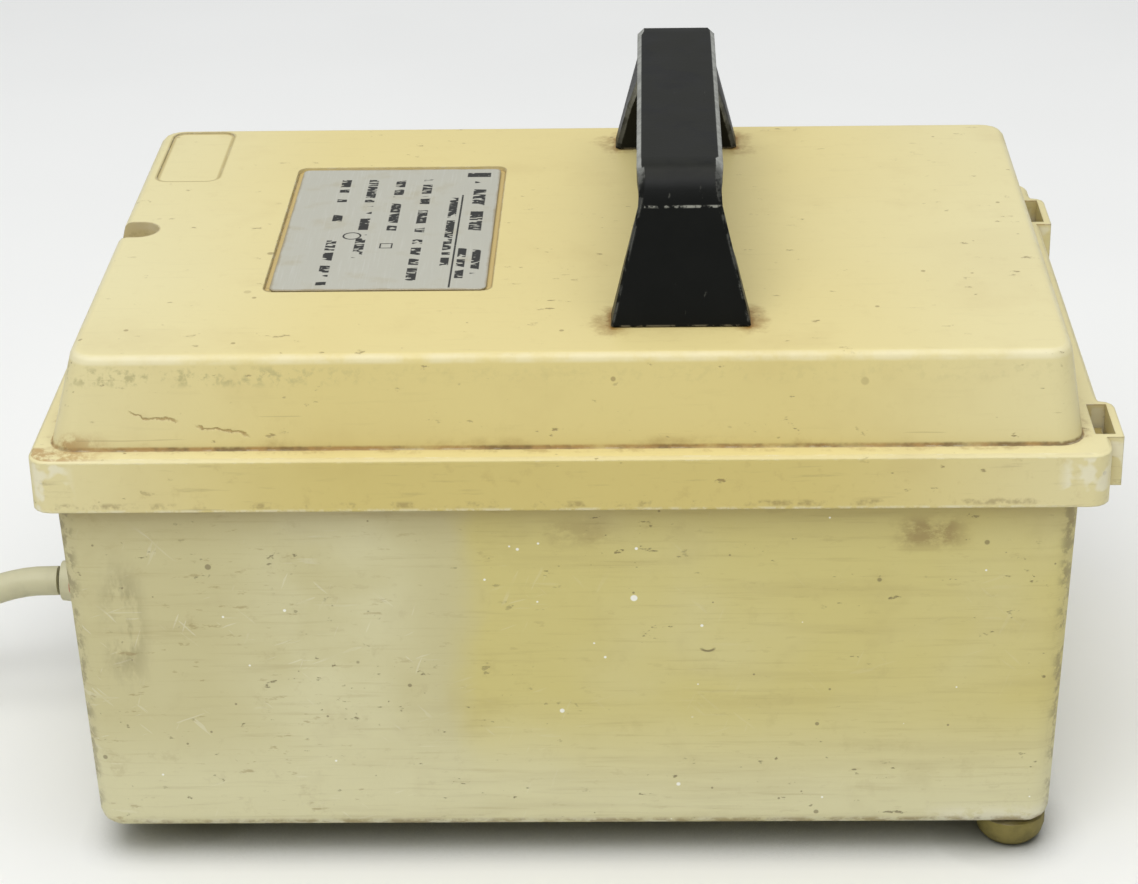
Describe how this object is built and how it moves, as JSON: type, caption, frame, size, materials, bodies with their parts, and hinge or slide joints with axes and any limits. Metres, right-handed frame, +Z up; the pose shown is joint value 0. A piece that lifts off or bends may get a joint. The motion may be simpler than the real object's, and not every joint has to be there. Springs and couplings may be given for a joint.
{
  "type": "portable autotransformer",
  "caption": "Step-up autotransformer in a two-part moulded case with a hinged lid, strap handle, flap-covered outlet, reset button and mains lead.",
  "frame": {"origin": "On the standing surface under the middle of the case, between the feet", "axes": "+Z up, +X along the case towards the lid's hinge end, -X towards the end with the lead and the outlet, +Y to the back"},
  "size_m": [0.4798, 0.1951, 0.1778],
  "materials": {
    "lid_plastic": "aged cream moulding, satin, dirty in the corners",
    "tub_plastic": "aged khaki moulding, satin, scuffed",
    "black_plastic": "worn black moulding, half gloss",
    "grey_plastic": "grey moulding",
    "white_plastic": "natural white moulding",
    "red_plastic": "red moulding",
    "plate_metal": null,
    "zinc_steel": "dull zinc plating",
    "core_steel": "varnished silicon steel laminations",
    "copper_wire": "enamelled copper wire",
    "winding_tape": "yellow insulating tape",
    "brass": "plain brass",
    "foot_rubber": "dirty rubber",
    "cord_sheath": "grey flexible sheath",
    "brown_wire": "brown insulation",
    "blue_wire": "blue insulation",
    "green_wire": "green and yellow insulation"
  },
  "bodies": {
    "case": {"case_tub": "tub_plastic", "lid_screw_insert": "brass", "foot_front_left": "foot_rubber", "foot_front_right": "foot_rubber", "foot_rear_left": "foot_rubber", "foot_rear_right": "foot_rubber", "core_e_stack": "core_steel", "core_i_stack": "core_steel", "bobbin": "white_plastic", "winding_common": "copper_wire", "winding_series": "copper_wire", "winding_tape": "winding_tape", "end_frame_front": "zinc_steel", "end_frame_rear": "zinc_steel", "core_bolt_low_left": "zinc_steel", "core_bolt_low_right": "zinc_steel", "core_bolt_high_left": "zinc_steel", "core_bolt_high_right": "zinc_steel", "frame_screw_1": "zinc_steel", "frame_screw_2": "zinc_steel", "frame_screw_3": "zinc_steel", "frame_screw_4": "zinc_steel", "earth_screw": "brass", "outlet_frame": "grey_plastic", "outlet_insert": "black_plastic", "outlet_contact_line": "brass", "outlet_contact_neutral": "brass", "outlet_earth_strap": "brass", "flap_pin": "zinc_steel", "flap_spring": "zinc_steel", "breaker_body": "black_plastic", "breaker_nut": "zinc_steel", "terminal_block": "white_plastic", "cord_clamp": "white_plastic", "cord_clamp_screw": "zinc_steel", "wire_line_in": "brown_wire", "wire_breaker_out": "black_plastic", "wire_neutral": "blue_wire", "wire_earth": "green_wire", "wire_outlet_line": "black_plastic", "wire_outlet_neutral": "blue_wire", "winding_lead": "black_plastic", "cord_bushing": "grey_plastic", "cord_tail": "cord_sheath", "mains_cord": "cord_sheath", "cord_coil": "cord_sheath", "cord_tie": "black_plastic", "plug_body": "black_plastic", "plug_blade_line": "brass", "plug_blade_neutral": "brass", "plug_earth_pin": "brass"},
    "lid": {"case_lid": "lid_plastic", "rating_plate": "plate_metal", "carry_handle": "black_plastic", "handle_screw_front": "zinc_steel", "handle_screw_rear": "zinc_steel"},
    "screw_washer": {"lid_screw_washer": "zinc_steel"},
    "screw": {"lid_screw": "zinc_steel"},
    "outlet_cover": {"outlet_flap": "grey_plastic"},
    "reset_button": {"breaker_button": "red_plastic"}
  },
  "joints": [
    {"name": "lid_hinge", "type": "hinge", "parent": "case", "child": "lid", "pos_m": [0.131, 0, 0.104], "axis": [0, 1, 0], "range_deg": [0, 95]},
    {"name": "lid_screw_lift", "type": "slide", "parent": "lid", "child": "screw_washer", "axis": [0, 0, 1], "range_m": [0, 0.009]},
    {"name": "lid_screw_turn", "type": "hinge", "parent": "screw_washer", "child": "screw", "pos_m": [-0.1142, 0.0021, 0.121], "axis": [0, 0, 1], "range_deg": [0, 3241]},
    {"name": "outlet_flap_hinge", "type": "hinge", "parent": "case", "child": "outlet_cover", "pos_m": [-0.1323, 0.046, 0.0856], "axis": [0, 1, 0], "range_deg": [0, 110], "stiffness_Nm_per_rad": 0.02, "springref_deg": -28.65},
    {"name": "reset_button_push", "type": "slide", "parent": "case", "child": "reset_button", "axis": [1, 0, 0], "range_m": [0, 0.0025], "stiffness_N_per_m": 400}
  ],
  "couplings": [
    {"joint": "lid_screw_turn", "follows": "lid_screw_lift", "rad_per_m": 6283.2}
  ]
}
